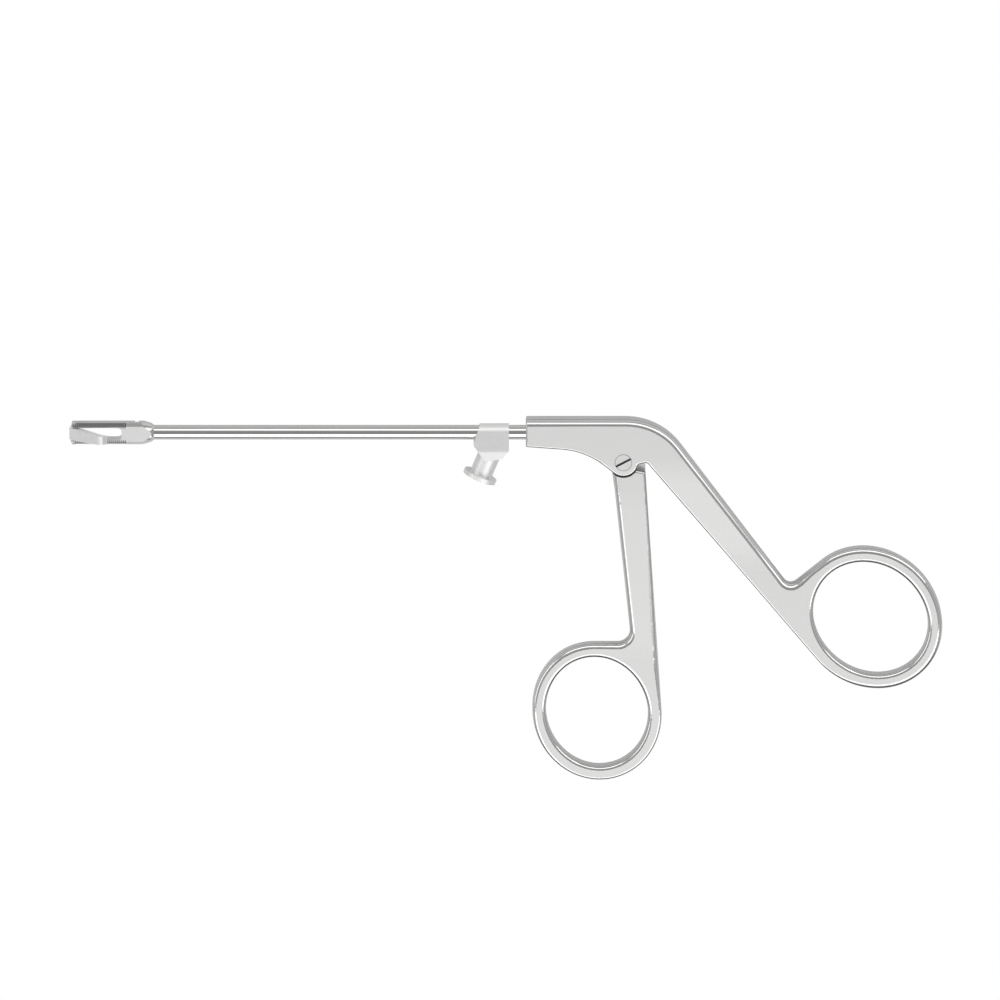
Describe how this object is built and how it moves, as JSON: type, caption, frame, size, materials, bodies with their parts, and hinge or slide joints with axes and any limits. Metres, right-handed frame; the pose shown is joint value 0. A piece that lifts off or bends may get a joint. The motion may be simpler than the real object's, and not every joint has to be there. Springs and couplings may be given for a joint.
{
  "type": "antrum punch",
  "caption": "Ring-handled antrum punch: straight shaft with a backward cutting jaw between toothed rails at its tip, a flushing port near the handle and a finger lever that drives the jaw.",
  "frame": {"origin": "on the lever's pivot axis, in the plane of the side that the instrument lies on", "axes": "+X runs along the shaft from the jaw to the handles, +Y from the finger ring up to the shaft, +Z away from the table, the way the jaw opens"},
  "size_m": [0.2096, 0.0895, 0.0129],
  "materials": {
    "satin_steel": "satin ground, edges polished",
    "tube_steel": "mirror polished",
    "head_steel": "fine satin",
    "jaw_steel": "fine satin",
    "port_steel": "satin",
    "screw_steel": "turned, fine satin",
    "fine_steel": "ground",
    "seal": "smooth black rubber"
  },
  "bodies": {
    "fixed_body": {"fixed_handle": "satin_steel", "pivot_screw": "screw_steel", "outer_tube": "tube_steel", "tube_sleeve": "fine_steel", "rod_bush": "fine_steel", "rod_seal": "seal", "jaw_frame": "head_steel", "jaw_hinge_pin": "fine_steel", "port_collar": "port_steel", "port_tube": "port_steel", "port_mouthpiece": "port_steel"},
    "lever_body": {"finger_lever": "satin_steel", "lever_drive_pin": "fine_steel"},
    "rod_body": {"push_rod": "fine_steel", "rod_clevis": "fine_steel", "clevis_pin": "fine_steel", "jaw_slide": "head_steel", "slide_pin": "fine_steel"},
    "jaw_body": {"cutting_jaw": "jaw_steel", "jaw_drive_pin": "fine_steel"}
  },
  "joints": [
    {"name": "lever_pivot", "type": "hinge", "parent": "fixed_body", "child": "lever_body", "pos_m": [0, 0, 0.00325], "axis": [0, 0, 1], "range_deg": [-7.27, 14.04]},
    {"name": "rod_travel", "type": "slide", "parent": "fixed_body", "child": "rod_body", "axis": [-1, 0, 0], "range_m": [-0.00086, 0.00166]},
    {"name": "jaw_hinge", "type": "hinge", "parent": "fixed_body", "child": "jaw_body", "pos_m": [-0.1316, 0.00675, 0.0044], "axis": [0, 1, 0], "range_deg": [-22.8, 44]}
  ],
  "couplings": [
    {"joint": "rod_travel", "follows": "lever_pivot", "m_per_rad": 0.00675},
    {"joint": "jaw_hinge", "follows": "lever_pivot", "ratio": 3.1315}
  ]
}
